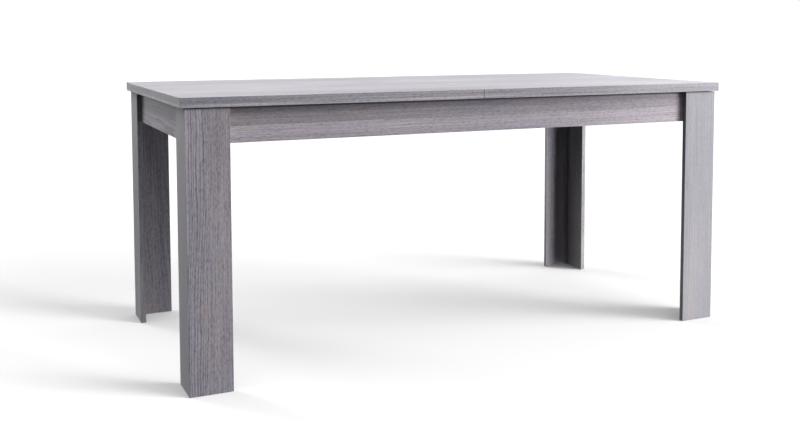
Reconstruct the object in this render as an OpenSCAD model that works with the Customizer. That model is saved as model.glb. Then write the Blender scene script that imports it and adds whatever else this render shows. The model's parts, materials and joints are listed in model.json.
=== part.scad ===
// Extendable dining table. Two top halves slide apart over a fixed frame on four L-section legs,
// and a loose leaf is stored inside the frame. Units are millimetres. X runs along the table,
// Y from front to back and Z up. The origin is on the floor, under the middle of the table.

/* [Table top] */
// Length of the closed table top
top_l = 1800; // [1780:10:1900]
// Depth of the table top
top_d = 900; // [880:10:960]
// Height of the table top above the floor
table_h = 806; // [740:1:820]
// Thickness of the top boards and of the leaf
top_t = 28; // [25:1:30]
// Thickness of the edge band glued round each board
band_t = 2; // [1:0.5:3]
// Gap at the seam between the two halves
seam_gap = 1; // [0.6:0.1:2]
// Overhang of the top past the legs at each end
end_overhang = 13; // [8:1:20]
// Overhang of the top past the legs at the front and back
side_overhang = 6; // [4:1:12]

/* [Legs] */
// Width of each of the two boards of an L-section leg
leg_w = 120; // [115:1:130]
// Thickness of the leg boards
leg_t = 16; // [15:1:18]
// Height of the glides under the legs
glide_h = 1; // [1:0.5:4]
// Radius of the glides
glide_r = 5; // [5:0.5:7]

/* [Frame] */
// Height of the aprons
apron_h = 97; // [94:1:110]
// Thickness of the aprons
apron_t = 16; // [15:1:19]
// Running gap between the frame and the top halves
run_gap = 2.5; // [2.5:0.5:5]
// Distance of each cross rail from the middle of the table
cross_x = 300; // [250:10:320]
// Width of the cross rails
cross_w = 70; // [60:5:80]
// Thickness of the cross rails
cross_t = 16; // [15:1:19]

/* [Leaf] */
// Width of the loose leaf
leaf_w = 460; // [420:10:460]
// Distance that the leaf can be lifted under the closed top
leaf_lift = 40; // [30:5:40]

/* [Extension slides] */
// Travel of each top half
travel = 245; // [240:1:245]
// Height of the fixed slide channel
slide_h = 35; // [33:1:36]
// Depth of the fixed slide channel
slide_d = 15; // [15:0.5:16]
// Sheet thickness of the fixed slide channel
sheet_t = 1.2; // [1:0.1:1.4]
// Length of each moving slide rail
rail_l = 540; // [520:10:540]
// Radius of the bearing balls
ball_r = 2.15; // [2:0.05:2.15]
// Balls in each of the two rows of a ball cage
ball_count = 6; // [4:1:7]

/* [Alignment pins] */
// Radius of the pins
pin_r = 4; // [3:0.5:5]
// Length of a pin inside its board
pin_in = 20; // [15:1:25]
// Length of a pin outside its board
pin_out = 10; // [8:1:12]
// Distance of the outer pins from the middle pin
pin_pitch = 360; // [340:5:380]

/* [Latches] */
// Distance of the two latches from the middle of the seam
latch_y = 310; // [305:1:315]
// Distance from a lever's pivot to its keeper pin
latch_reach = 55; // [50:1:56]
// Thickness of the lever
lever_t = 2.5; // [2:0.1:3]
// Radius of the keeper pin
keeper_pin_r = 2; // [1.5:0.1:2]
// Width of the lever's slot for the keeper pin
lever_slot_w = 7; // [6:0.1:8]

/* [Hidden] */
$fn = 48;

wood = [0.53, 0.52, 0.54];
wood_edge = [0.50, 0.49, 0.51];
beech = [0.80, 0.66, 0.46];
zinc = [0.72, 0.73, 0.75];
bright = [0.85, 0.86, 0.88];
plastic = [0.44, 0.44, 0.46];
felt = [0.16, 0.16, 0.17];

// Heights of the top's underside, of the frame's top and of the aprons' lower edge
under_z = table_h - top_t;
frame_z = under_z - run_gap;
apron_z = frame_z - apron_h;

// Half lengths and half depths: outside the legs, outside the apron frame, and inside it
leg_x = top_l / 2 - end_overhang;
leg_y = top_d / 2 - side_overhang;
frame_x = leg_x - leg_t;
frame_y = leg_y - leg_t;
inner_x = frame_x - apron_t;
inner_y = frame_y - apron_t;

// Wood screws
screw_r = 2;
screw_head_r = 4;
screw_head_h = 1.6;
pilot_r = screw_r + 0.05;
clear_r = screw_r + 0.2;

// Bolts that hold the legs to the aprons
bolt_r = 2.95;
bolt_head_r = 5.5;
bolt_head_h = 3.3;
bolt_hole_r = 3.3;
washer_r = 8;
washer_t = 1.2;
nut_r = 4.5;
nut_l = 12;
bolt_l = apron_t + nut_l - 1;
bolt_edge = 23;
bolt_x = leg_x - leg_w + bolt_edge;
bolt_y = leg_y - leg_w + bolt_edge;
bolt_zs = [apron_z + 22, frame_z - 25];

// Corner brackets, and the brackets under the ends of the cross rails
bracket_t = 2;
corner_bracket_w = 50;
corner_bracket_h = 60;
corner_bracket_z = apron_z + 8;
corner_screw_zs = [corner_bracket_z + 12, corner_bracket_z + corner_bracket_h - 12];
corner_screw_in = 35;
end_bracket_w = 40;
end_bracket_d = 30;
end_bracket_h = 27;
end_bracket_screw_x = 12;

// The stored leaf, the felt under it and the cross rails, downwards from the lifted leaf
lifted_leaf_gap = 5.5;
felt_t = 2;
felt_w = 30;
felt_l = 60;
felt_y = 180;
leaf_z = under_z - lifted_leaf_gap - leaf_lift - top_t;
cross_top_z = leaf_z - felt_t;
cross_z = cross_top_z - cross_t;
cleat_w = 30;
cleat_d = 16;
cleat_h = 18;
cleat_gap = 4;
cleat_y = leaf_w / 2 + cleat_gap;

// Pads on the aprons' top edges
pad_l = 60;
pad_w = 10;
pad_t = run_gap - 0.3;
pad_xs = [120, 450, 700];

// Slide channel, with its rows of balls at the lower and upper flange
channel_z = frame_z - 7 - slide_h;
channel_lip_h = 3;
channel_tab_h = 4.5;
channel_screw_xs = [-500, -250, 0, 250, 500];
ball_play = 0.15;
ball_row_h = 2 * (ball_r + ball_play);
ball_y = inner_y - 9;
row_zs = [channel_z + sheet_t + ball_row_h / 2, channel_z + slide_h - sheet_t - ball_row_h / 2];

// Moving slide rail: an upright web outside the channel, two flanges that run on the balls,
// and a foot flange that is screwed to the top
rail_x = 20;
rail_web_y = inner_y - slide_d - 1;
rail_web_t = 1.5;
rail_foot_w = 24;
rail_foot_t = 2;
rail_flange_y = inner_y - 4.6;
rail_screw_xs = [50, 210, 370, 530];
rail_screw_y = rail_web_y - rail_foot_w / 2;

// Ball cage
cage_x = 190;
cage_l = 240;
cage_t = 0.7;
cage_web_y = inner_y - 3.1;
cage_arm_y = ball_y - 2.6;
ball_pitch = cage_l / ball_count;

// Half length of the channel: its stop tabs are just past the cages, which move half as far as the top
channel_x = cage_x + cage_l + travel / 2 + 3.5;

// Latch: plate, lever and rivet on the left half, keeper on the right half
latch_pivot_x = -33;
keeper_x = latch_pivot_x + latch_reach;
keeper_washer_r = 5;
keeper_washer_t = 1.5;
keeper_pin_end = 0.8;
plate_t = 2;
plate_w = 30;
latch_plate_x = [-75, -15];
keeper_plate_x = [14, 54];
latch_screw_x = -65;
keeper_screw_x = 45;
latch_screw_dy = 9;
part_gap = 0.3;
lever_z = under_z - plate_t - part_gap - lever_t;
lever_arm_w = 14;
lever_pivot_w = 18;
lever_head_r = 11;
rivet_r = 2.5;
rivet_head_r = 5;
rivet_head_h = 1.6;

pin_ys = [-pin_pitch, 0, pin_pitch];
pin_z = table_h - top_t / 2;
pin_bore_r = pin_r + 0.4;
pin_bore_l = pin_out + 2;

// Box from one corner to the opposite one
module block(low, high) {
    translate(low) cube(high - low);
}

// Children, mirrored to the named side: -1 is left or front, 1 is right or rear
module place(side_x, side_y) {
    mirror([side_x < 0 ? 1 : 0, 0, 0]) mirror([0, side_y < 0 ? 1 : 0, 0]) children();
}

// Children, once at each corner of the table
module each_corner() {
    for (side_x = [-1, 1], side_y = [-1, 1]) place(side_x, side_y) children();
}

// Turns something that points down, such as a screw, so that it points along X, Y or up
module point_x() { rotate([0, -90, 0]) children(); }
module point_y() { rotate([90, 0, 0]) children(); }
module point_up() { rotate([180, 0, 0]) children(); }

// Wood screw that points down, with the underside of its head at z 0
module screw(l) {
    tip = 2;
    difference() {
        cylinder(r = screw_head_r, h = screw_head_h);
        for (a = [0, 90]) rotate(a) translate([-2.2, -0.45, 0.7]) cube([4.4, 0.9, screw_head_h]);
    }
    translate([0, 0, tip - l]) cylinder(r = screw_r, h = l - tip + 0.4);
    translate([0, 0, -l]) cylinder(r1 = 0.4, r2 = screw_r, h = tip);
}

// Hole for a screw's shank, l deep, that starts just above z 0
module hole(r, l) {
    translate([0, 0, -l]) cylinder(r = r, h = l + 1);
}

// ---- Top halves and leaf ----

// Board with its core inside the edge band, from one corner to the opposite one
module core(low, high) {
    block(low + [band_t, band_t, 0], high - [band_t, band_t, 0]);
}

module band(low, high) {
    difference() {
        block(low, high);
        block(low + [band_t, band_t, -1], high + [-band_t, -band_t, 1]);
    }
}

half_low = [seam_gap / 2, -top_d / 2, under_z];
half_high = [top_l / 2, top_d / 2, table_h];
leaf_low = [-top_d / 2, -leaf_w / 2, leaf_z];
leaf_high = [top_d / 2, leaf_w / 2, leaf_z + top_t];

// Holes at the seam of a half on the right: r wide and l deep
module seam_holes(r, l) {
    for (y = pin_ys) translate([seam_gap / 2, y, pin_z]) point_x() hole(r, l);
}

// Pilot holes for what is screwed under a half on the right
module rail_pilots() {
    for (x = rail_screw_xs, side_y = [-1, 1]) {
        translate([x, side_y * rail_screw_y, under_z]) point_up() hole(pilot_r, 15);
    }
}

module left_top_panel() color(wood) difference() {
    mirror([1, 0, 0]) difference() {
        core(half_low, half_high);
        seam_holes(pin_bore_r, pin_bore_l);
        rail_pilots();
    }
    latch_screw_places(latch_screw_x) hole(pilot_r, 13);
}

module left_top_edge_band() color(wood_edge) mirror([1, 0, 0]) difference() {
    band(half_low, half_high);
    seam_holes(pin_bore_r, band_t + 1);
}

module right_top_panel() color(wood) difference() {
    core(half_low, half_high);
    seam_holes(pin_r + 0.05, pin_in);
    rail_pilots();
    latch_screw_places(keeper_screw_x) hole(pilot_r, 13);
}

module right_top_edge_band() color(wood_edge) difference() {
    band(half_low, half_high);
    seam_holes(pin_r + 0.05, band_t + 1);
}

// Dowel pin that points down, with the board's edge at z 0
module pin() {
    chamfer = 1.5;
    translate([0, 0, -pin_in]) cylinder(r = pin_r, h = pin_in + pin_out - chamfer);
    translate([0, 0, pin_out - chamfer]) cylinder(r1 = pin_r, r2 = pin_r - chamfer, h = chamfer);
}

module alignment_pins() color(beech) {
    for (y = pin_ys) translate([seam_gap / 2, y, pin_z]) point_x() pin();
}

// Holes along a long side of the stored leaf: side is -1 for the front and 1 for the rear
module leaf_holes(side, r, l) {
    for (x = pin_ys) {
        translate([x, side * leaf_w / 2, leaf_z + top_t / 2]) place(1, -side) point_y() hole(r, l);
    }
}

module leaf_panel() color(wood) difference() {
    core(leaf_low, leaf_high);
    leaf_holes(-1, pin_r + 0.05, pin_in);
    leaf_holes(1, pin_bore_r, pin_bore_l);
}

module leaf_edge_band() color(wood_edge) difference() {
    band(leaf_low, leaf_high);
    leaf_holes(-1, pin_r + 0.05, band_t + 1);
    leaf_holes(1, pin_bore_r, band_t + 1);
}

module leaf_pins() color(beech) {
    for (x = pin_ys) translate([x, -leaf_w / 2, leaf_z + top_t / 2]) point_y() pin();
}

// ---- Legs ----

// Insert nut hole in a leg board, from its inner face at z 0
module nut_hole() { hole(nut_r + 0.05, nut_l + 0.3); }

// Board across the front or rear of a leg, mitred at the leg's corner
module leg_face(side_x, side_y) color(wood) place(side_x, side_y) difference() {
    translate([0, 0, glide_h]) linear_extrude(frame_z - glide_h) polygon([
        [leg_x, leg_y], [leg_x - leg_w, leg_y], [leg_x - leg_w, frame_y], [frame_x, frame_y]
    ]);
    for (z = bolt_zs) translate([bolt_x, frame_y, z]) point_y() nut_hole();
}

// Board along the end of the table, mitred at the leg's corner
module leg_side(side_x, side_y) color(wood) place(side_x, side_y) difference() {
    translate([0, 0, glide_h]) linear_extrude(frame_z - glide_h) polygon([
        [leg_x, leg_y], [frame_x, frame_y], [frame_x, leg_y - leg_w], [leg_x, leg_y - leg_w]
    ]);
    for (z = bolt_zs) translate([frame_x, bolt_y, z]) point_x() nut_hole();
}

module leg_glides() color(plastic) each_corner() {
    mid_x = leg_x - leg_t / 2;
    mid_y = leg_y - leg_t / 2;
    far = leg_w - 20;
    for (p = [[mid_x, mid_y], [leg_x - far, mid_y], [mid_x, leg_y - far]]) {
        translate(p) cylinder(r = glide_r, h = glide_h);
    }
}

// Children at every leg bolt, pointing down into the apron's inner face at z 0
module leg_bolt_places() each_corner() for (z = bolt_zs) {
    translate([bolt_x, inner_y, z]) point_y() children();
    translate([inner_x, bolt_y, z]) point_x() children();
}

module leg_bolts() color(zinc) leg_bolt_places() translate([0, 0, washer_t]) {
    difference() {
        cylinder(r = bolt_head_r, h = bolt_head_h);
        translate([0, 0, 1.3]) cylinder(r = 2.3, h = bolt_head_h, $fn = 6);
    }
    translate([0, 0, -bolt_l]) cylinder(r = bolt_r, h = bolt_l + 0.5);
}

module leg_bolt_washers() color(zinc) leg_bolt_places() difference() {
    cylinder(r = washer_r, h = washer_t);
    translate([0, 0, -1]) cylinder(r = bolt_hole_r, h = washer_t + 2);
}

module leg_insert_nuts() color(zinc) leg_bolt_places() translate([0, 0, -apron_t - nut_l]) difference() {
    cylinder(r = nut_r, h = nut_l);
    translate([0, 0, -1]) cylinder(r = bolt_r + 0.05, h = nut_l + 2);
}

// ---- Frame ----

// Screws of the corner brackets: z 0 is the inner face of the bracket
module corner_screw_places() each_corner() for (z = corner_screw_zs) {
    translate([inner_x - corner_screw_in, inner_y - bracket_t, z]) point_y() children();
    translate([inner_x - bracket_t, inner_y - corner_screw_in, z]) point_x() children();
}

// Screws of a cross rail bracket, at the apron and at the rail: z 0 is the bracket's inner face
module end_bracket_screw_places() each_corner() {
    for (dx = [-end_bracket_screw_x, end_bracket_screw_x]) {
        translate([cross_x + dx, inner_y - bracket_t, cross_top_z + 16]) point_y() children();
        translate([cross_x + dx, inner_y - 20, cross_top_z + bracket_t]) children();
    }
}

// Screws of the slide channels: z 0 is the web's inner face
module channel_screw_places() for (x = channel_screw_xs, side_y = [-1, 1]) place(1, side_y) {
    translate([x, inner_y - sheet_t, channel_z + slide_h / 2]) point_y() children();
}

// Everything that is cut out of the aprons
module apron_holes() {
    leg_bolt_places() hole(bolt_hole_r, apron_t + 1);
    corner_screw_places() hole(pilot_r, bracket_t + 11);
    end_bracket_screw_places() hole(pilot_r, bracket_t + 11);
    channel_screw_places() hole(pilot_r, sheet_t + 11);
}

module long_apron(side_y) color(wood) difference() {
    place(1, side_y) block([-frame_x, inner_y, apron_z], [frame_x, frame_y, frame_z]);
    apron_holes();
}

module short_apron(side_x) color(wood) difference() {
    place(side_x, 1) block([inner_x, -inner_y, apron_z], [frame_x, inner_y, frame_z]);
    apron_holes();
}

module apron_pads() color(felt) for (x = pad_xs) each_corner() {
    mid_y = (inner_y + frame_y) / 2;
    block([x - pad_l / 2, mid_y - pad_w / 2, frame_z], [x + pad_l / 2, mid_y + pad_w / 2, frame_z + pad_t]);
}

module corner_bracket(side_x, side_y) color(zinc) difference() {
    place(side_x, side_y) translate([inner_x, inner_y, corner_bracket_z]) linear_extrude(corner_bracket_h) {
        polygon([
            [0, 0], [-corner_bracket_w, 0], [-corner_bracket_w, -bracket_t],
            [-bracket_t, -bracket_t], [-bracket_t, -corner_bracket_w], [0, -corner_bracket_w]
        ]);
    }
    corner_screw_places() hole(clear_r, bracket_t + 1);
}

module corner_bracket_screws() color(zinc) corner_screw_places() screw(bracket_t + 10);

module cross_rail(side_x) color(wood) difference() {
    place(side_x, 1) {
        block([cross_x - cross_w / 2, -inner_y, cross_z], [cross_x + cross_w / 2, inner_y, cross_top_z]);
    }
    end_bracket_screw_places() hole(pilot_r, bracket_t + 11);
    cleat_screw_places() hole(pilot_r, cleat_h + 11);
}

module cross_rail_brackets() color(zinc) difference() {
    each_corner() translate([cross_x - end_bracket_w / 2, inner_y, cross_top_z]) {
        rotate([90, 0, 90]) linear_extrude(end_bracket_w) polygon([
            [0, 0], [-end_bracket_d, 0], [-end_bracket_d, bracket_t],
            [-bracket_t, bracket_t], [-bracket_t, end_bracket_h], [0, end_bracket_h]
        ]);
    }
    end_bracket_screw_places() hole(clear_r, bracket_t + 1);
}

module cross_rail_bracket_screws() color(zinc) end_bracket_screw_places() screw(bracket_t + 10);

module leaf_rest_pads() color(felt) each_corner() {
    block(
        [cross_x - felt_w / 2, felt_y - felt_l / 2, cross_top_z],
        [cross_x + felt_w / 2, felt_y + felt_l / 2, leaf_z]
    );
}

module cleat_screw_places() each_corner() {
    translate([cross_x, cleat_y + cleat_d / 2, cross_top_z + cleat_h]) children();
}

module leaf_cleats() color(beech) difference() {
    each_corner() block(
        [cross_x - cleat_w / 2, cleat_y, cross_top_z],
        [cross_x + cleat_w / 2, cleat_y + cleat_d, cross_top_z + cleat_h]
    );
    cleat_screw_places() hole(clear_r, cleat_h + 1);
}

module leaf_cleat_screws() color(zinc) cleat_screw_places() screw(cleat_h + 10);

// ---- Extension slides ----

// Stop tab across the end of a row of balls, from its lower edge up
module channel_tab(z) {
    block([channel_x - sheet_t, inner_y - slide_d + 0.5, z], [channel_x, inner_y - 0.5, z + channel_tab_h]);
}

// C-section channel that opens towards the middle of the table, with stop tabs at both ends
module slide_channel(side_y) color(zinc) place(1, side_y) difference() {
    union() {
        translate([-channel_x, inner_y, channel_z]) rotate([90, 0, 90]) linear_extrude(2 * channel_x) {
            polygon([
                [0, 0], [-slide_d, 0], [-slide_d, channel_lip_h], [-slide_d + sheet_t, channel_lip_h],
                [-slide_d + sheet_t, sheet_t], [-sheet_t, sheet_t], [-sheet_t, slide_h - sheet_t],
                [-slide_d + sheet_t, slide_h - sheet_t], [-slide_d + sheet_t, slide_h - channel_lip_h],
                [-slide_d, slide_h - channel_lip_h], [-slide_d, slide_h], [0, slide_h]
            ]);
        }
        for (side_x = [-1, 1]) place(side_x, 1) {
            channel_tab(channel_z + sheet_t / 2);
            channel_tab(channel_z + slide_h - sheet_t / 2 - channel_tab_h);
        }
    }
    channel_screw_places() hole(clear_r, sheet_t + 1);
}

module slide_channel_screws() color(zinc) channel_screw_places() screw(sheet_t + 10);

// Rail under one end of a top half: web, ball flanges and foot flange
module slide_rail(side_x, side_y) color(zinc) place(side_x, side_y) difference() {
    low_z = row_zs[0] + ball_row_h / 2;
    high_z = row_zs[1] - ball_row_h / 2;
    web = rail_web_y - rail_web_t;
    translate([rail_x, 0, 0]) rotate([90, 0, 90]) linear_extrude(rail_l) polygon([
        [web, low_z], [rail_flange_y, low_z], [rail_flange_y, low_z + sheet_t],
        [rail_web_y, low_z + sheet_t], [rail_web_y, high_z - sheet_t], [rail_flange_y, high_z - sheet_t],
        [rail_flange_y, high_z], [rail_web_y, high_z], [rail_web_y, under_z],
        [rail_web_y - rail_foot_w, under_z], [rail_web_y - rail_foot_w, under_z - rail_foot_t],
        [web, under_z - rail_foot_t]
    ]);
    rail_screw_places(1) hole(clear_r, rail_foot_t + 1);
}

// Screws through the rails' foot flanges: z 0 is the flange's lower face
module rail_screw_places(side_x) {
    place(side_x, 1) for (x = rail_screw_xs, side_y = [-1, 1]) {
        translate([x, side_y * rail_screw_y, under_z - rail_foot_t]) point_up() children();
    }
}

module rail_screws(side_x) color(zinc) rail_screw_places(side_x) screw(rail_foot_t + 14);

// U-section strip that keeps the balls apart, with its two rows of balls
module ball_cage(side_x, side_y) place(side_x, side_y) {
    ball_xs = [for (i = [0 : ball_count - 1]) cage_x + ball_pitch * (i + 0.5)];
    color(zinc) difference() {
        block(
            [cage_x, cage_arm_y, row_zs[0] - cage_t / 2],
            [cage_x + cage_l, cage_web_y, row_zs[1] + cage_t / 2]
        );
        block(
            [cage_x - 1, cage_arm_y - 1, row_zs[0] + cage_t / 2],
            [cage_x + cage_l + 1, cage_web_y - cage_t, row_zs[1] - cage_t / 2]
        );
        for (x = ball_xs, z = row_zs) translate([x, ball_y, z - 2]) cylinder(r = ball_r + 0.1, h = 4);
    }
    color(bright) for (x = ball_xs, z = row_zs) translate([x, ball_y, z]) sphere(r = ball_r);
}

// ---- Latches under the seam ----

// Children at the screws of both plates on one half: z 0 is the top's underside
module latch_screw_places(x) for (side_y = [-1, 1], dy = [-latch_screw_dy, latch_screw_dy]) {
    translate([x, side_y * latch_y + dy, under_z]) point_up() children();
}

// Plate under the top, over a range of x
module plate(xs, side_y) {
    mid_y = side_y * latch_y;
    block([xs[0], mid_y - plate_w / 2, under_z - plate_t], [xs[1], mid_y + plate_w / 2, under_z]);
}

module latch_plate(side_y) color(zinc) difference() {
    plate(latch_plate_x, side_y);
    latch_screw_places(latch_screw_x) translate([0, 0, 3]) hole(clear_r, 6);
    translate([latch_pivot_x, side_y * latch_y, 0]) cylinder(r = rivet_r + 0.05, h = table_h);
}

module plate_screws(x) color(zinc) latch_screw_places(x) translate([0, 0, plate_t]) screw(plate_t + 12);

module latch_rivets() color(bright) for (side_y = [-1, 1]) {
    head_z = lever_z - part_gap - rivet_head_h;
    translate([latch_pivot_x, side_y * latch_y, head_z]) {
        cylinder(r = rivet_head_r, h = rivet_head_h);
        cylinder(r = rivet_r, h = under_z - head_z);
    }
}

// Lever at rest across the seam's direction. Its curved slot closes round the keeper pin
// when the lever is turned a quarter turn to point along X.
module latch_lever(side_y) color(zinc) place(1, side_y) translate([latch_pivot_x, latch_y, lever_z]) {
    cut_h = lever_t + 2;
    difference() {
        union() {
            cylinder(r = lever_pivot_w / 2, h = lever_t);
            translate([-lever_arm_w / 2, -latch_reach, 0]) cube([lever_arm_w, latch_reach, lever_t]);
            translate([0, -latch_reach, 0]) cylinder(r = lever_head_r, h = lever_t);
            translate([-lever_arm_w / 2 - 14, 12 - latch_reach, 0]) cube([16, 9, lever_t]);
        }
        translate([0, 0, -1]) cylinder(r = rivet_r + 0.1, h = cut_h);
        translate([0, -latch_reach, -1]) cylinder(r = lever_slot_w / 2, h = cut_h);
        rotate(-90) rotate_extrude(angle = 20) {
            translate([latch_reach - lever_slot_w / 2, -1]) square([lever_slot_w, cut_h]);
        }
    }
}

// Plate that holds a keeper pin
module latch_keeper(side_y) color(zinc) difference() {
    plate(keeper_plate_x, side_y);
    latch_screw_places(keeper_screw_x) translate([0, 0, 3]) hole(clear_r, 6);
    translate([keeper_x, side_y * latch_y, 0]) cylinder(r = keeper_pin_r + 0.05, h = table_h);
}

// The two keeper pins, each with a push-on washer below the lever
module keeper_pins() color(bright) for (side_y = [-1, 1]) {
    washer_z = lever_z - part_gap - keeper_washer_t;
    low_z = washer_z - keeper_pin_end;
    translate([keeper_x, side_y * latch_y, 0]) {
        translate([0, 0, low_z]) cylinder(r = keeper_pin_r, h = under_z - low_z);
        translate([0, 0, washer_z]) difference() {
            cylinder(r = keeper_washer_r, h = keeper_washer_t);
            translate([0, 0, -1]) cylinder(r = keeper_pin_r + 0.05, h = keeper_washer_t + 2);
        }
    }
}

left_top_panel();
left_top_edge_band();
right_top_panel();
right_top_edge_band();
alignment_pins();
leg_face(-1, -1);  // front_left_leg_face
leg_side(-1, -1);  // front_left_leg_side
leg_face(1, -1);  // front_right_leg_face
leg_side(1, -1);  // front_right_leg_side
leg_face(-1, 1);  // rear_left_leg_face
leg_side(-1, 1);  // rear_left_leg_side
leg_face(1, 1);  // rear_right_leg_face
leg_side(1, 1);  // rear_right_leg_side
leg_glides();
leg_bolts();
leg_bolt_washers();
leg_insert_nuts();
long_apron(-1);  // front_apron
long_apron(1);  // rear_apron
short_apron(-1);  // left_apron
short_apron(1);  // right_apron
apron_pads();
corner_bracket(-1, -1);  // front_left_corner_bracket
corner_bracket(1, -1);  // front_right_corner_bracket
corner_bracket(-1, 1);  // rear_left_corner_bracket
corner_bracket(1, 1);  // rear_right_corner_bracket
corner_bracket_screws();
cross_rail(-1);  // left_cross_rail
cross_rail(1);  // right_cross_rail
cross_rail_brackets();
cross_rail_bracket_screws();
leaf_rest_pads();
leaf_cleats();
leaf_cleat_screws();
leaf_panel();
leaf_edge_band();
leaf_pins();
slide_channel(-1);  // front_slide_channel
slide_channel(1);  // rear_slide_channel
slide_channel_screws();
slide_rail(-1, -1);  // front_left_slide_rail
slide_rail(-1, 1);  // rear_left_slide_rail
slide_rail(1, -1);  // front_right_slide_rail
slide_rail(1, 1);  // rear_right_slide_rail
rail_screws(-1);  // left_rail_screws
rail_screws(1);  // right_rail_screws
ball_cage(-1, -1);  // front_left_ball_cage
ball_cage(-1, 1);  // rear_left_ball_cage
ball_cage(1, -1);  // front_right_ball_cage
ball_cage(1, 1);  // rear_right_ball_cage
latch_plate(-1);  // front_latch_plate
latch_plate(1);  // rear_latch_plate
plate_screws(latch_screw_x);  // latch_plate_screws
latch_rivets();
latch_lever(-1);  // front_latch_lever
latch_lever(1);  // rear_latch_lever
latch_keeper(-1);  // front_latch_keeper
latch_keeper(1);  // rear_latch_keeper
keeper_pins();
plate_screws(keeper_screw_x);  // keeper_screws
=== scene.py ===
"""Extendable dining table: the looks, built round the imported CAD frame. All lengths are in metres."""

import json
import math

import bmesh
import bpy
from mathutils import Matrix, Vector


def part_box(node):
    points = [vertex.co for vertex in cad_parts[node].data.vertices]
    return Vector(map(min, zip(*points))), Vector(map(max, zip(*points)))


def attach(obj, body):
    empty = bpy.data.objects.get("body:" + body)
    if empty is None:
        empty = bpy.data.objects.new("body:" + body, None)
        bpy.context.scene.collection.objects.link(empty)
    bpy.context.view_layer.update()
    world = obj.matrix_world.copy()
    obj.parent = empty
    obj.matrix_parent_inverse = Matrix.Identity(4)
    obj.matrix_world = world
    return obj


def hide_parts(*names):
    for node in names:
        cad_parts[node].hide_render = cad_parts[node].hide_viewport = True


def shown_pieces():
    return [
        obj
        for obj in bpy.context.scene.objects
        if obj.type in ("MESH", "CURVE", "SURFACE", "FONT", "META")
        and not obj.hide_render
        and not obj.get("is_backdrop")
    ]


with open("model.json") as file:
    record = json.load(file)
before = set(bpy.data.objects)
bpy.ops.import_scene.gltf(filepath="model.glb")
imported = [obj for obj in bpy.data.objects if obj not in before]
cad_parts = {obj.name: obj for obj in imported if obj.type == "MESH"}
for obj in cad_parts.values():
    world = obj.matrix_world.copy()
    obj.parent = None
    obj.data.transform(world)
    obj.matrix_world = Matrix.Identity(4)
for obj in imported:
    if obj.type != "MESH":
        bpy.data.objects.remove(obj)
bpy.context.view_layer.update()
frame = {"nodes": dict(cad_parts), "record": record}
scene = bpy.context.scene
nodes = frame["nodes"]

# ---- Shader helpers ----


def add(tree, kind, inputs=None, **settings):
    """A new shader node. inputs maps a socket's name or number to a value or another node's output."""
    new = tree.nodes.new("ShaderNode" + kind)
    for key, value in settings.items():
        setattr(new, key, value)
    for key, value in (inputs or {}).items():
        if isinstance(value, bpy.types.NodeSocket):
            tree.links.new(value, new.inputs[key])
        else:
            new.inputs[key].default_value = value
    return new


def math_of(tree, operation, *values):
    """The result of a Math node on one, two or three values or sockets."""
    return add(tree, "Math", dict(enumerate(values)), operation=operation).outputs[0]


def plus(tree, base, value, amount):
    """base plus value times amount."""
    return math_of(tree, "MULTIPLY_ADD", value, amount, base)


def noise_of(tree, place, cells, detail=2.0, roughness=0.5):
    """Noise round 0, from about -0.3 to 0.3. cells is the number of noise cells in a metre on each axis."""
    scaled = add(tree, "VectorMath", {0: place, 1: cells}, operation="MULTIPLY").outputs[0]
    inputs = {"Vector": scaled, "Scale": 1.0, "Detail": detail, "Roughness": roughness}
    return math_of(tree, "SUBTRACT", add(tree, "TexNoise", inputs).outputs["Fac"], 0.5)


def ramp_of(tree, value, stops):
    """The colour of a ramp at value. stops are (position, grey or (r, g, b)) in linear light."""
    ramp = add(tree, "ValToRGB", {0: value})
    elements = ramp.color_ramp.elements
    while len(elements) < len(stops):
        elements.new(0.5)
    for element, (position, colour) in zip(elements, stops):
        element.position = position
        grey = isinstance(colour, (int, float))
        element.color = (colour, colour, colour, 1) if grey else (*colour, 1)
    return ramp.outputs["Color"]


def range_of(tree, value, low, high, new_low, new_high, kind="SMOOTHSTEP"):
    """value from low to high, mapped to new_low to new_high and held at the ends."""
    inputs = {0: value, 1: low, 2: high, 3: new_low, 4: new_high}
    return add(tree, "MapRange", inputs, interpolation_type=kind).outputs[0]


def scaled_colour(tree, colour, factor):
    """colour times factor."""
    return add(tree, "VectorMath", {0: colour, "Scale": factor}, operation="SCALE").outputs[0]


def new_material(name, **values):
    """A material with a Principled shader, whose constants are set on its own sockets."""
    material = bpy.data.materials.new(name)
    material.use_nodes = True
    shader = material.node_tree.nodes["Principled BSDF"]
    for key, value in values.items():
        shader.inputs[key.replace("_", " ").title()].default_value = value
    return material, material.node_tree, shader


def bump(tree, shader, height, distance, strength=1.0):
    """Relief of height times distance metres on the shader."""
    normal = add(tree, "Bump", {"Height": height, "Distance": distance, "Strength": strength})
    tree.links.new(normal.outputs[0], shader.inputs["Normal"])


# ---- Wood decor ----

# Pairs of hues in linear light, from the cooler to the warmer patches of a board
PLAIN = ((0.211, 0.202, 0.239), (0.238, 0.215, 0.232))
PALE = ((0.210, 0.206, 0.232), (0.225, 0.215, 0.227))
PINK = ((0.222, 0.205, 0.237), (0.240, 0.216, 0.230))
VIOLET = ((0.209, 0.202, 0.240), (0.222, 0.207, 0.237))
SOFT = ((0.211, 0.205, 0.236), (0.229, 0.214, 0.229))
HUE_ENDS = (0.2, 0.8)

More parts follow.
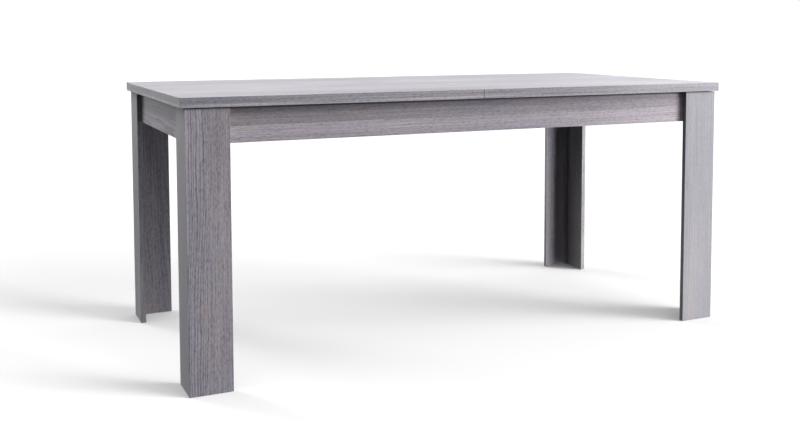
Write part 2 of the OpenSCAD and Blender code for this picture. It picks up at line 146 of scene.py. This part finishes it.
# Noise cells in a metre along the grain, across it and through the board
WANDER_CELLS = (1.3, 4.0, 4.0)
RIPPLE_CELLS = (9.0, 60.0, 30.0)
FADE_CELLS = (1.7, 14.0, 8.0)
STREAK_CELLS = (2.6, 220.0, 60.0)
FIBRE_CELLS = (11.0, 1100.0, 220.0)
PORE_CELLS = (42.0, 1300.0, 350.0)
FLECK_CELLS = (90.0, 330.0, 150.0)
BLOTCH_CELLS = (1.4, 8.0, 8.0)
BAND_CELLS = (1.1, 14.0, 8.0)
PATCH_CELLS = (3.0, 26.0, 26.0)
SWAY_CELLS = (1.6, 20.0, 0.0)
# Noise cells in a metre out from the rings' middle line
RING_CELLS = (48.0, 1.0, 1.0)

# What a noise of 1 moves: the rings' middle line, in metres, and the rings themselves, in rings
WANDER = 0.05
UNEVEN = 2.2
RIPPLE = 0.9
# Brightness through one ring, roughly its mean, and how much the rings fade in places
RING_PROFILE = ((0.0, 0.95), (0.35, 0.8), (0.72, 0.35), (0.9, 0.0), (1.0, 0.9))
RING_MEAN = 0.58
RING_FADE = 0.5
# How far apart the boards of two seeds lie in the noise of the rings and in all other noise
SEED_RING = 0.37
SEED_STEP = (3.17, 1.31, 0.73)

# The decor's own brightness, and what each part of the figure adds to it
BRIGHTNESS = 1.04
FIBRE_DEPTH = 0.5
FLECK_DEPTH = -0.8
DARK_FLECK_DEPTH = -0.12
BLOTCH_DEPTH = 0.35
PORE_DEPTH = -0.14
# The noise levels at which pores and dark flecks begin and are complete
PORE_LEVELS = (0.10, 0.17)
DARK_FLECK_LEVELS = (0.05, 0.15)
# How much patches and blotches shift the hue
PATCH_WARMTH = 1.2
BLOTCH_WARMTH = 1.0

# How far the tones sway across the board for a noise of 1, and between which distances from the board's
# middle the sway dies out, all in board widths
SWAY = 0.06
SWAY_ENDS = (0.35, 0.45)

# The decor's own roughness, what fibres and pores add to it and to the relief, and the relief's depth
SATIN_ROUGHNESS = 0.46
FIBRE_ROUGHNESS = 0.25
PORE_ROUGHNESS = 0.12
FIBRE_RELIEF = 0.5
PORE_RELIEF = -0.6
DECOR_RELIEF = 0.00012
DECOR_RELIEF_STRENGTH = 0.6


def growth_rings(tree, spot, board, seed, width, ring_gap, pith, tilt, ring):
    """Growth rings round a middle line that wanders along the board, as brightness round 0."""
    along, across, depth = board
    wander = math_of(tree, "MULTIPLY", noise_of(tree, spot, WANDER_CELLS), WANDER)
    side = math_of(tree, "ADD", math_of(tree, "SUBTRACT", across, pith[0]), wander)
    under = plus(tree, math_of(tree, "SUBTRACT", depth, pith[1]), along, tilt)
    both = add(tree, "CombineXYZ", {0: side, 1: under, 2: 0.0}).outputs[0]
    reach = add(tree, "VectorMath", {0: both}, operation="LENGTH").outputs["Value"]
    radial = add(tree, "CombineXYZ", {0: reach, 1: seed * SEED_RING, 2: 0.0}).outputs[0]
    uneven = math_of(tree, "MULTIPLY", noise_of(tree, radial, RING_CELLS, detail=1.0), UNEVEN)
    ripple = math_of(tree, "MULTIPLY", noise_of(tree, spot, RIPPLE_CELLS), RIPPLE)
    rings_out = math_of(tree, "DIVIDE", reach, ring_gap)
    turns = math_of(tree, "ADD", rings_out, math_of(tree, "ADD", uneven, ripple))
    profile = ramp_of(tree, math_of(tree, "FRACT", turns), RING_PROFILE)
    tone = math_of(tree, "SUBTRACT", profile, RING_MEAN)
    fade = math_of(tree, "MULTIPLY", noise_of(tree, spot, FADE_CELLS, detail=1.0), RING_FADE * max(ring))
    ring_depth = math_of(tree, "ADD", range_of(tree, across, -width / 4, width / 4, *ring), fade)
    return math_of(tree, "MULTIPLY", tone, ring_depth)


def board_tone(tree, spot, board, length, width, tones):
    """Brightness from stops across the board, one set at its start and one at its end. Some sets are
    painted shade.
    """
    along, across, _ = board
    place = math_of(tree, "MULTIPLY", across, 1 / width)
    sway_limit = range_of(tree, math_of(tree, "ABSOLUTE", place), *SWAY_ENDS, SWAY, 0.0)
    sway = math_of(tree, "MULTIPLY", noise_of(tree, spot, SWAY_CELLS), sway_limit)
    level = plus(tree, math_of(tree, "ADD", sway, 0.5), across, 1 / width)
    part = range_of(tree, along, -length / 2, length / 2, 0.0, 1.0, "LINEAR")
    # The tones go through the ramps at half their size, so that they stay below 1
    start, end = (ramp_of(tree, level, [(at, tone / 2) for at, tone in stops]) for stops in tones)
    half = add(tree, "Mix", {0: part, 2: start, 3: end}).outputs[0]
    return math_of(tree, "MULTIPLY", half, 2.0)


def wood_decor(name, axes, low, high, seed, ring_gap=0.0075, pith=(0.4, 0.05), tilt=0.0, ring=(0.2, 0.2),
               streak=1.0, mottle=0.8, bands=0.0, tones=None, contrast=1.0, hues=PLAIN):
    """Grey wood-grain decor on one board.

    axes names the frame's axes along the grain, across it and through the board, such as "ZXY".
    pith is where the tree's middle lies from the board's middle, across and through it, and tilt is how
    fast the middle moves away along the grain. ring is how strong the rings are at the two edges.
    streak, mottle and bands are how strong the fine streaks, the flecks and the wide streaks are.
    tones are (place across from 0 to 1, brightness) stops for the board's start and for its end; on some
    boards they hold painted shade and painted shadow as well as streaks.
    """
    material, tree, shader = new_material(name)
    place = add(tree, "SeparateXYZ", {0: add(tree, "TexCoord").outputs["Object"]})
    numbers = ["XYZ".index(axis) for axis in axes]
    length, width, _ = (high[n] - low[n] for n in numbers)
    board = [math_of(tree, "SUBTRACT", place.outputs[n], (low[n] + high[n]) / 2) for n in numbers]
    from_middle = add(tree, "CombineXYZ", dict(enumerate(board))).outputs[0]
    shift = [seed * step for step in SEED_STEP]
    spot = add(tree, "VectorMath", {0: from_middle, 1: shift}, operation="ADD").outputs[0]

    rings = growth_rings(tree, spot, board, seed, width, ring_gap, pith, tilt, ring)
    streaks = math_of(tree, "MULTIPLY", noise_of(tree, spot, STREAK_CELLS, roughness=0.6), streak)
    fibres = noise_of(tree, spot, FIBRE_CELLS)
    pores = range_of(tree, noise_of(tree, spot, PORE_CELLS, detail=1.0), *PORE_LEVELS, 0.0, 1.0)
    blotch = noise_of(tree, spot, BLOTCH_CELLS, detail=1.0)
    flecks = noise_of(tree, spot, FLECK_CELLS, roughness=0.6)
    dark_flecks = range_of(tree, flecks, *DARK_FLECK_LEVELS, 0.0, 1.0)
    value = math_of(tree, "ADD", rings, streaks)
    value = plus(tree, value, fibres, FIBRE_DEPTH)
    value = plus(tree, value, flecks, FLECK_DEPTH * mottle)
    value = plus(tree, value, dark_flecks, DARK_FLECK_DEPTH * mottle)
    value = plus(tree, value, blotch, BLOTCH_DEPTH)
    if bands:
        wide = noise_of(tree, spot, BAND_CELLS, detail=5.0, roughness=0.68)
        value = plus(tree, value, wide, bands)
    value = plus(tree, value, pores, PORE_DEPTH)
    value = plus(tree, BRIGHTNESS, value, contrast)
    if tones:
        value = math_of(tree, "MULTIPLY", value, board_tone(tree, spot, board, length, width, tones))
    patches = noise_of(tree, spot, PATCH_CELLS)
    warmth = plus(tree, plus(tree, 0.5, blotch, BLOTCH_WARMTH), patches, PATCH_WARMTH)
    hue = ramp_of(tree, warmth, list(zip(HUE_ENDS, hues)))
    tree.links.new(scaled_colour(tree, hue, value), shader.inputs["Base Color"])

    satin = plus(tree, SATIN_ROUGHNESS, fibres, FIBRE_ROUGHNESS)
    tree.links.new(plus(tree, satin, pores, PORE_ROUGHNESS), shader.inputs["Roughness"])
    relief = plus(tree, math_of(tree, "MULTIPLY", fibres, FIBRE_RELIEF), pores, PORE_RELIEF)
    bump(tree, shader, relief, DECOR_RELIEF, DECOR_RELIEF_STRENGTH)
    return material


def paint(node, material):
    """Gives a CAD node its material."""
    node.data.materials.clear()
    node.data.materials.append(material)


# ---- Other materials ----

# Colours are in linear light, cells in noise cells a metre, and scratches and reliefs in metres of depth.
# A tone is what a noise adds to the brightness, and a dullness what it adds to the roughness.
METAL_CLOUD_CELLS = (60.0, 60.0, 60.0)
METAL_BRUSH_CELLS = (90.0, 2600.0, 2600.0)
METAL_CLOUD_TONE = 0.45
METAL_BRUSH_TONE = 0.25
METAL_CLOUD_DULLNESS = 0.3
METAL_BRUSH_DULLNESS = 0.2
# (colour, roughness, scratch)
ZINC = ((0.70, 0.71, 0.74), 0.36, 0.00003)
BEARING = ((0.80, 0.80, 0.81), 0.2, 0.00001)

BEECH_GRAIN_CELLS = (60.0, 900.0, 900.0)
BEECH_FLECK_CELLS = (350.0, 1900.0, 1900.0)
BEECH_FLECK_LEVELS = (0.10, 0.16)
BEECH_HUES = ((0.50, 0.32, 0.17), (0.66, 0.46, 0.28))
BEECH_GRAIN_TONE = 1.5
BEECH_FLECK_TONE = -0.35
BEECH_RELIEF = 0.00008

PLASTIC_GREY = (0.16, 0.16, 0.17)
PLASTIC_GRAIN_CELLS = (2200.0, 2200.0, 2200.0)
PLASTIC_CLOUD_CELLS = (120.0, 120.0, 120.0)
PLASTIC_CLOUD_TONE = 0.8
PLASTIC_ROUGHNESS = 0.5
PLASTIC_GRAIN_DULLNESS = 0.3
PLASTIC_RELIEF = 0.00004

FELT_GREY = (0.085, 0.085, 0.092)
FELT_MAT_CELLS = (700.0, 700.0, 700.0)
FELT_TUFT_CELLS = (140.0, 140.0, 140.0)
FELT_TUFT_TONE = 0.8
FELT_MAT_TONE = 1.4
FELT_RELIEF = 0.0004


def metal(name, colour, roughness, scratch):
    """Zinc plating or polished steel: a cloudy tone and gloss, with fine brushed scratches."""
    material, tree, shader = new_material(name, metallic=1.0)
    place = add(tree, "TexCoord").outputs["Object"]
    cloud = noise_of(tree, place, METAL_CLOUD_CELLS, detail=3.0)
    brushed = noise_of(tree, place, METAL_BRUSH_CELLS)
    tone = plus(tree, plus(tree, 1.0, cloud, METAL_CLOUD_TONE), brushed, METAL_BRUSH_TONE)
    tree.links.new(scaled_colour(tree, colour, tone), shader.inputs["Base Color"])
    dull = plus(tree, plus(tree, roughness, cloud, METAL_CLOUD_DULLNESS), brushed, METAL_BRUSH_DULLNESS)
    tree.links.new(dull, shader.inputs["Roughness"])
    bump(tree, shader, brushed, scratch)
    return material


def beech_wood():
    """Pale turned beech with its short brown flecks."""
    material, tree, shader = new_material("beech", roughness=0.55)
    place = add(tree, "TexCoord").outputs["Object"]
    grain = noise_of(tree, place, BEECH_GRAIN_CELLS, detail=3.0)
    spots = noise_of(tree, place, BEECH_FLECK_CELLS, detail=1.0)
    flecks = range_of(tree, spots, *BEECH_FLECK_LEVELS, 0.0, 1.0)
    pale = ramp_of(tree, plus(tree, 0.5, grain, BEECH_GRAIN_TONE), list(zip(HUE_ENDS, BEECH_HUES)))
    tone = plus(tree, 1.0, flecks, BEECH_FLECK_TONE)
    tree.links.new(scaled_colour(tree, pale, tone), shader.inputs["Base Color"])
    bump(tree, shader, grain, BEECH_RELIEF)
    return material


def grey_plastic():
    """Moulded plastic with a fine spark-eroded grain."""
    material, tree, shader = new_material("grey_plastic")
    place = add(tree, "TexCoord").outputs["Object"]
    grain = noise_of(tree, place, PLASTIC_GRAIN_CELLS)
    cloud = noise_of(tree, place, PLASTIC_CLOUD_CELLS)
    tone = plus(tree, 1.0, cloud, PLASTIC_CLOUD_TONE)
    tree.links.new(scaled_colour(tree, PLASTIC_GREY, tone), shader.inputs["Base Color"])
    dull = plus(tree, PLASTIC_ROUGHNESS, grain, PLASTIC_GRAIN_DULLNESS)
    tree.links.new(dull, shader.inputs["Roughness"])
    bump(tree, shader, grain, PLASTIC_RELIEF)
    return material


def grey_felt():
    """Pressed felt: matted fibres with lighter tufts."""
    material, tree, shader = new_material("felt", roughness=0.95, sheen_weight=0.4, sheen_roughness=0.5)
    place = add(tree, "TexCoord").outputs["Object"]
    mat = noise_of(tree, place, FELT_MAT_CELLS, detail=4.0, roughness=0.7)
    tufts = noise_of(tree, place, FELT_TUFT_CELLS)
    tone = plus(tree, plus(tree, 1.0, tufts, FELT_TUFT_TONE), mat, FELT_MAT_TONE)
    tree.links.new(scaled_colour(tree, FELT_GREY, tone), shader.inputs["Base Color"])
    bump(tree, shader, mat, FELT_RELIEF)
    return material


# ---- Boards ----

# (place across the board, brightness) stops at the board's start and at its end
# On the aprons the lower half is lighter and the upper half darker: a streak in the decor, deepened by
# painted shadow of the top's overhang. Near the top edge a band is lightened, painted light that offsets
# the shade under the overhang, and the top few millimetres are a dark painted shadow line for the gap under
# the top.
APRON_STREAK_AND_SHADE_TONES = (
    ((0.0, 1.12), (0.12, 1.08), (0.20, 1.22), (0.47, 1.20), (0.49, 0.70), (0.54, 0.76), (0.78, 0.78),
     (0.88, 0.94), (0.952, 0.96), (0.972, 0.42)),
    ((0.0, 1.06), (0.30, 1.04), (0.54, 1.08), (0.56, 0.80), (0.62, 0.92), (0.80, 0.96), (0.88, 1.10),
     (0.952, 1.10), (0.972, 0.38)),
)
# The rear left leg's face is darker towards its top: painted shade under the apron and the top.
REAR_LEFT_SHADE_TONES = (((0.0, 1.08), (1.0, 1.08)), ((0.0, 0.80), (1.0, 0.80)))
FRONT_LEFT_TONES = (((0.0, 0.96), (1.0, 0.95)), ((0.0, 0.94), (1.0, 0.90)))
EDGE_TONES = (
    ((0.0, 1.20), (0.24, 1.26), (0.36, 0.84), (0.75, 0.90), (1.0, 0.82)),
    ((0.0, 1.02), (0.25, 1.05), (0.40, 0.97), (0.75, 1.00), (1.0, 0.95)),
)

# node: (axes along, across and through the board, and the figure's settings)
BOARDS = {
    "front_left_leg_face": (
        "ZXY", {"pith": (-0.55, 0.1), "ring": (0.72, 0.14), "mottle": 1.2, "tones": FRONT_LEFT_TONES}),
    "front_left_leg_side": (
        "ZYX", {"pith": (0.7, 0.3), "ring": (0.07, 0.07), "streak": 0.5, "mottle": 0.3, "hues": PALE}),
    "front_right_leg_face": (
        "ZXY", {"pith": (0.5, 0.2), "ring": (0.14, 0.12), "streak": 0.6, "mottle": 0.4, "hues": PALE}),
    "front_right_leg_side": (
        "ZYX", {"pith": (0.5, 0.2), "ring": (0.15, 0.1), "hues": PALE}),
    "rear_left_leg_face": (
        "ZXY", {"pith": (0.1, 0.12), "tilt": 0.05, "ring": (0.30, 0.24), "mottle": 1.2,
                "tones": REAR_LEFT_SHADE_TONES}),
    "rear_left_leg_side": (
        "ZYX", {"pith": (-0.6, 0.3), "ring": (0.15, 0.40), "streak": 1.2, "hues": PALE}),
    "rear_right_leg_face": (
        "ZXY", {"pith": (0.3, 0.2), "ring": (0.15, 0.15)}),
    "rear_right_leg_side": (
        "ZYX", {"pith": (0.12, 0.1), "tilt": 0.04, "ring": (0.18, 0.1), "hues": PALE}),
    "front_apron": (
        "XZY", {"pith": (-0.25, 0.1), "ring_gap": 0.006, "ring": (0.16, 0.16), "streak": 0.7, "mottle": 1.0,
                "tones": APRON_STREAK_AND_SHADE_TONES, "hues": PINK}),
    "rear_apron": (
        "XZY", {"pith": (0.06, 0.06), "tilt": 0.015, "ring": (0.15, 0.12), "streak": 0.6,
                "tones": APRON_STREAK_AND_SHADE_TONES}),
    "left_apron": (
        "YZX", {"pith": (-0.045, 0.03), "tilt": 0.035, "ring_gap": 0.009, "ring": (0.60, 0.35),
                "streak": 0.6, "tones": APRON_STREAK_AND_SHADE_TONES, "hues": VIOLET}),
    "right_apron": (
        "YZX", {"pith": (0.03, 0.045), "tilt": -0.035, "ring_gap": 0.009, "ring": (0.40, 0.30),
                "streak": 0.6, "tones": APRON_STREAK_AND_SHADE_TONES, "hues": PALE}),
    "left_cross_rail": (
        "YXZ", {"pith": (0.2, 0.1), "ring": (0.16, 0.16)}),
    "right_cross_rail": (
        "YXZ", {"pith": (-0.2, 0.1), "ring": (0.16, 0.16)}),
    "leaf_panel": (
        "YXZ", {"pith": (0.05, 0.09), "tilt": 0.08, "ring_gap": 0.009, "ring": (0.15, 0.15)}),
}
TOP_FIGURE = {"ring_gap": 0.011, "pith": (0.1, 0.16), "tilt": 0.03, "ring": (0.34, 0.26), "streak": 1.5,
              "mottle": 0.7, "bands": 1.2, "contrast": 0.8, "hues": PALE}
BAND_FIGURE = {"pith": (0.3, 0.2), "ring": (0.02, 0.02), "mottle": 1.2, "tones": EDGE_TONES, "hues": SOFT}
X_BAND_STREAK = 1.2
Y_BAND_STREAK = 2.0

# Each board's figure has its own seed. BOARDS takes 1 to 15, in its order, and an edge band takes two.
TOP_SEED = 16
TOP_BAND_SEED = 17
LEAF_BAND_SEED = 19

# Widths of the boards' rounded arrises. The legs' are finer, for their mitred corners.
BEVEL = 0.0007
LEG_BEVEL = 0.0004
BEVEL_SEGMENTS = 3
WELD_REACH = 1e-6
FLAT_ANGLE = math.radians(1)
ARRIS_ANGLE = math.radians(40)


def soften_edges(node, width):
    """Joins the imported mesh's split corners, clears the triangulation and rounds the board's arrises."""
    weld = node.modifiers.new("weld", "WELD")
    weld.merge_threshold = WELD_REACH
    flatten = node.modifiers.new("flatten", "DECIMATE")
    flatten.decimate_type = "DISSOLVE"
    flatten.angle_limit = FLAT_ANGLE
    bevel = node.modifiers.new("bevel", "BEVEL")
    bevel.width = width
    bevel.segments = BEVEL_SEGMENTS
    bevel.limit_method = "ANGLE"
    bevel.angle_limit = ARRIS_ANGLE
    bevel.harden_normals = True


for seed, (name, (axes, figure)) in enumerate(BOARDS.items(), 1):
    paint(nodes[name], wood_decor("decor_" + name, axes, *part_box(name), seed, **figure))
    soften_edges(nodes[name], LEG_BEVEL if "_leg_" in name else BEVEL)

# The two halves of the top are one board's decor, so that the grain runs on across the seam
top_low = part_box("left_top_panel")[0]
top_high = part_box("right_top_panel")[1]
top_decor = wood_decor("decor_top", "XYZ", top_low, top_high, TOP_SEED, **TOP_FIGURE)
for name in ("left_top_panel", "right_top_panel"):
    paint(nodes[name], top_decor)

# ---- Edge bands ----

BAND_THICKNESS = 0.002
# Rounding of the outer arrises
ARRIS = 0.0011
ARRIS_SEGMENTS = 4
SAME_PLACE = 1e-6
BORE_RADIUS = 0.0044
BORE_SIDES = 48
# Length of the bores' cutter, half of it outside the band
BORE_CUT = 0.02
# The alignment pins, from the middle of the seam
PIN_PLACES = (-0.36, 0.0, 0.36)
SLOT_ALONG_X = 0
SLOT_ALONG_Y = 1


def strip(bm, low, high, sides, slot):
    """One strip of edge band from corner low to corner high, in the material of slot.

    sides are the strip's free outer sides, such as "-y" or "+x". All their edges are rounded.
    """
    corners = bmesh.ops.create_cube(bm, size=1.0)["verts"]
    bmesh.ops.scale(bm, vec=Vector(high) - Vector(low), verts=corners)
    bmesh.ops.translate(bm, vec=(Vector(high) + Vector(low)) / 2, verts=corners)
    limits = {"-x": (0, low[0]), "+x": (0, high[0]), "-y": (1, low[1]), "+y": (1, high[1])}

    def outer(edge):
        """Whether the edge lies on one of the sides."""
        for side in sides:
            number, level = limits[side]
            if all(abs(v.co[number] - level) < SAME_PLACE for v in edge.verts):
                return True
        return False

    faces = {face for v in corners for face in v.link_faces}
    edges = {edge for face in faces for edge in face.edges if outer(edge)}
    rounded = bmesh.ops.bevel(bm, geom=list(edges), offset=ARRIS, segments=ARRIS_SEGMENTS, profile=0.5,
                              affect="EDGES", clamp_overlap=True)
    for face in faces | set(rounded["faces"]):
        if face.is_valid:
            face.material_index = slot


def drill(piece, places):
    """Cuts the pins' bores into piece's mesh at places, each a point and a direction."""
    cutter_mesh = bpy.data.meshes.new("cutter")
    bm = bmesh.new()
    for point, direction in places:
        turn = Vector(direction).to_track_quat("Z", "Y").to_matrix().to_4x4()
        bmesh.ops.create_cone(bm, cap_ends=True, segments=BORE_SIDES, depth=BORE_CUT, radius1=BORE_RADIUS,
                              radius2=BORE_RADIUS, matrix=Matrix.Translation(point) @ turn)
    bm.to_mesh(cutter_mesh)
    bm.free()
    cutter = bpy.data.objects.new("cutter", cutter_mesh)
    scene.collection.objects.link(cutter)
    cut = piece.modifiers.new("bores", "BOOLEAN")
    cut.operation = "DIFFERENCE"
    cut.solver = "EXACT"
    cut.object = cutter
    bpy.context.view_layer.update()
    drilled = bpy.data.meshes.new_from_object(piece.evaluated_get(bpy.context.evaluated_depsgraph_get()))
    piece.modifiers.clear()
    piece.data = drilled
    bpy.data.objects.remove(cutter)


def edge_band(name, node, body, decors, bores=()):
    """The four strips round one panel. The strips along X lie over the ends of the strips along Y."""
    low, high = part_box(node)
    bm = bmesh.new()
    seam_side = {"left": "+x", "right": "-x"}.get(name.split("_")[0])
    ends = [side for side in ("-x", "+x") if side != seam_side]
    inner_low = (low.x, low.y + BAND_THICKNESS, low.z)
    inner_high = (high.x, high.y - BAND_THICKNESS, high.z)
    strip(bm, low, (high.x, low.y + BAND_THICKNESS, high.z), ["-y", *ends], SLOT_ALONG_X)
    strip(bm, (low.x, high.y - BAND_THICKNESS, low.z), high, ["+y", *ends], SLOT_ALONG_X)
    low_end = ["-x"] if "-x" in ends else []
    high_end = ["+x"] if "+x" in ends else []
    strip(bm, inner_low, (low.x + BAND_THICKNESS, inner_high[1], high.z), low_end, SLOT_ALONG_Y)
    strip(bm, (high.x - BAND_THICKNESS, inner_low[1], low.z), inner_high, high_end, SLOT_ALONG_Y)
    mesh = bpy.data.meshes.new(name)
    bm.to_mesh(mesh)
    bm.free()
    for decor in decors:
        mesh.materials.append(decor)
    piece = bpy.data.objects.new(name, mesh)
    scene.collection.objects.link(piece)
    if bores:
        drill(piece, bores)
    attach(piece, body)
    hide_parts(node)


def band_decors(name, box, seed):
    """Decor for the strips along X and along Y round one box."""
    along_x = wood_decor(name + "_along_x", "XZY", *box, seed, streak=X_BAND_STREAK, **BAND_FIGURE)
    along_y = wood_decor(name + "_along_y", "YZX", *box, seed + 1, streak=Y_BAND_STREAK, **BAND_FIGURE)
    return [along_x, along_y]


top_box = (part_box("left_top_edge_band")[0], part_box("right_top_edge_band")[1])
top_decors = band_decors("decor_top_edge", top_box, TOP_BAND_SEED)
pin_z = (top_box[0].z + top_box[1].z) / 2
seam_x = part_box("left_top_edge_band")[1].x
seam_bores = [((seam_x, y, pin_z), (1, 0, 0)) for y in PIN_PLACES]
edge_band("left_top_band", "left_top_edge_band", "left_top", top_decors, seam_bores)
edge_band("right_top_band", "right_top_edge_band", "right_top", top_decors)
leaf_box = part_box("leaf_edge_band")
leaf_decors = band_decors("decor_leaf_edge", leaf_box, LEAF_BAND_SEED)
leaf_z = (leaf_box[0].z + leaf_box[1].z) / 2
leaf_bores = [((x, leaf_box[1].y, leaf_z), (0, 1, 0)) for x in PIN_PLACES]
edge_band("leaf_band", "leaf_edge_band", "leaf", leaf_decors, leaf_bores)

# ---- Fittings ----

FITTINGS = {
    "zinc_steel": metal("zinc_steel", *ZINC),
    "bearing_steel": metal("bearing_steel", *BEARING),
    "beech": beech_wood(),
    "grey_plastic": grey_plastic(),
    "felt": grey_felt(),
}
for subpart in frame["record"]["subparts"]:
    if subpart["material_slot"] in FITTINGS:
        paint(nodes[subpart["node"]], FITTINGS[subpart["material_slot"]])

# ---- Camera ----

CAMERA_PLACE = (-1.424, -3.095, 0.980)
CAMERA_YAW = math.radians(25.68)
CAMERA_PITCH = math.radians(4.02)
# In millimetres
CAMERA_LENS = 45.2
SENSOR_WIDTH = 36.0
CAMERA_SHIFT = (-0.048, -0.14)


def make_camera():
    """The main view's camera."""
    data = bpy.data.cameras.new("camera")
    data.sensor_width = SENSOR_WIDTH
    data.lens = CAMERA_LENS
    data.shift_x, data.shift_y = CAMERA_SHIFT
    camera = bpy.data.objects.new("camera", data)
    camera.location = CAMERA_PLACE
    camera.rotation_euler = (math.pi / 2 - CAMERA_PITCH, 0, -CAMERA_YAW)
    scene.collection.objects.link(camera)
    scene.camera = camera


# ---- Studio ----

FLOOR_HALF = 40.0
FLOOR_WHITE = 0.8
# Strength of the world's even light, and of what shows in the gloss
AMBIENT = 0.02
REFLECTED_STUDIO = 0.2
# Where the sun lamps stand, which doesn't change their light
SUN_PLACE = (0, 0, 3)

# (azimuth from the front towards the right, elevation, width, strength), angles in degrees.
# The table and the floor have their own lamps.
TABLE_LAMPS = (
    (-135, 65, 25, 1.06), (45, 40, 25, 0.87), (0, -90, 25, 0.30), (45, 12, 25, 0.23), (0, 40, 25, 0.18),
    (-90, 40, 25, 0.17), (-135, 40, 25, 0.16), (-90, 12, 25, 0.05),
)
# The table's lamps that show in its gloss
GLOSS_LAMPS = ((180, 65, 25, 0.78), (-160, 12, 25, 0.27), (135, 12, 25, 0.04))
FLOOR_LAMPS = (
    (45, 12, 24, 1.38), (0, 90, 175, 0.71), (60, 24, 20, 0.41), (-150, 28, 20, 0.31), (20, 28, 20, 0.14),
    (60, 50, 25, 0.07), (0, 90, 30, 0.06),
)
# (azimuth, distance, power) of tall strip lamps beside the table's front right corner
STRIP_LAMPS = ((60, 3.4, 78.0), (60, 2.4, 74.0))
# Width and height of each, and the height of its middle
STRIP_SIZE = (0.7, 4.0)
STRIP_HEIGHT = 1.2


def towards(azimuth, elevation):
    """The direction from the table to a lamp, both angles in degrees."""
    turn, rise = math.radians(azimuth), math.radians(elevation)
    return Vector((math.sin(turn) * math.cos(rise), -math.cos(turn) * math.cos(rise), math.sin(rise)))


def make_lamp(name, data, place, direction, lit, gloss):
    """A lamp at place that shines from direction on the objects of the collection lit.

    gloss says whether it also shows in the objects' gloss.
    """
    lamp = bpy.data.objects.new(name, data)
    lamp.location = place
    lamp.rotation_euler = direction.to_track_quat("Z", "Y").to_euler()
    scene.collection.objects.link(lamp)
    lamp.light_linking.receiver_collection = lit
    lamp.visible_glossy = gloss


def soft_lamp(name, azimuth, elevation, width, strength, lit, gloss=False):
    """A far lamp that is width degrees across."""
    data = bpy.data.lights.new(name, "SUN")
    data.energy = math.pi * strength
    data.angle = math.radians(width)
    make_lamp(name, data, SUN_PLACE, towards(azimuth, elevation), lit, gloss)


def strip_lamp(name, azimuth, distance, power, lit):
    """A tall lamp that stands at distance from the table's middle."""
    data = bpy.data.lights.new(name, "AREA")
    data.shape = "RECTANGLE"
    data.size, data.size_y = STRIP_SIZE
    data.energy = power
    direction = towards(azimuth, 0)
    make_lamp(name, data, direction * distance + Vector((0, 0, STRIP_HEIGHT)), direction, lit, False)


def make_floor():
    """A plain pale floor. It is seen only from above, and it throws no light back on the table."""
    mesh = bpy.data.meshes.new("floor")
    corners = [(x * FLOOR_HALF, y * FLOOR_HALF, 0) for x, y in ((-1, -1), (1, -1), (1, 1), (-1, 1))]
    mesh.from_pydata(corners, [], [(0, 1, 2, 3)])
    floor = bpy.data.objects.new("floor", mesh)
    scene.collection.objects.link(floor)
    material = bpy.data.materials.new("floor")
    material.use_nodes = True
    tree = material.node_tree
    tree.nodes.clear()
    pale = add(tree, "BsdfDiffuse", {"Color": (FLOOR_WHITE, FLOOR_WHITE, FLOOR_WHITE, 1)})
    clear = add(tree, "BsdfTransparent")
    from_below = add(tree, "NewGeometry").outputs["Backfacing"]
    mixed = add(tree, "MixShader", {0: from_below, 1: pale.outputs[0], 2: clear.outputs[0]})
    add(tree, "OutputMaterial", {"Surface": mixed.outputs[0]})
    mesh.materials.append(material)
    floor.visible_diffuse = False
    floor.visible_glossy = False
    floor.visible_shadow = False
    floor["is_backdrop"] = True
    return floor


def make_world():
    """White behind the object, a dim even studio in its gloss and a little even light on it."""
    world = bpy.data.worlds.new("studio")
    scene.world = world
    world.use_nodes = True
    tree = world.node_tree
    background = tree.nodes["Background"]
    background.inputs["Color"].default_value = (1, 1, 1, 1)
    ray = add(tree, "LightPath")
    glossy = plus(tree, AMBIENT, ray.outputs["Is Glossy Ray"], REFLECTED_STUDIO - AMBIENT)
    strength = math_of(tree, "MAXIMUM", ray.outputs["Is Camera Ray"], glossy)
    tree.links.new(strength, background.inputs["Strength"])


scene.view_settings.view_transform = "Standard"
make_camera()
floor = make_floor()
make_world()
table_parts = bpy.data.collections.new("table_parts")
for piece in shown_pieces():
    table_parts.objects.link(piece)
floor_parts = bpy.data.collections.new("floor_parts")
floor_parts.objects.link(floor)
for number, lamp in enumerate(TABLE_LAMPS):
    soft_lamp("table_lamp_%d" % number, *lamp, table_parts)
for number, lamp in enumerate(GLOSS_LAMPS):
    soft_lamp("gloss_lamp_%d" % number, *lamp, table_parts, gloss=True)
for number, lamp in enumerate(FLOOR_LAMPS):
    soft_lamp("floor_lamp_%d" % number, *lamp, floor_parts)
for number, lamp in enumerate(STRIP_LAMPS):
    strip_lamp("strip_lamp_%d" % number, *lamp, table_parts)
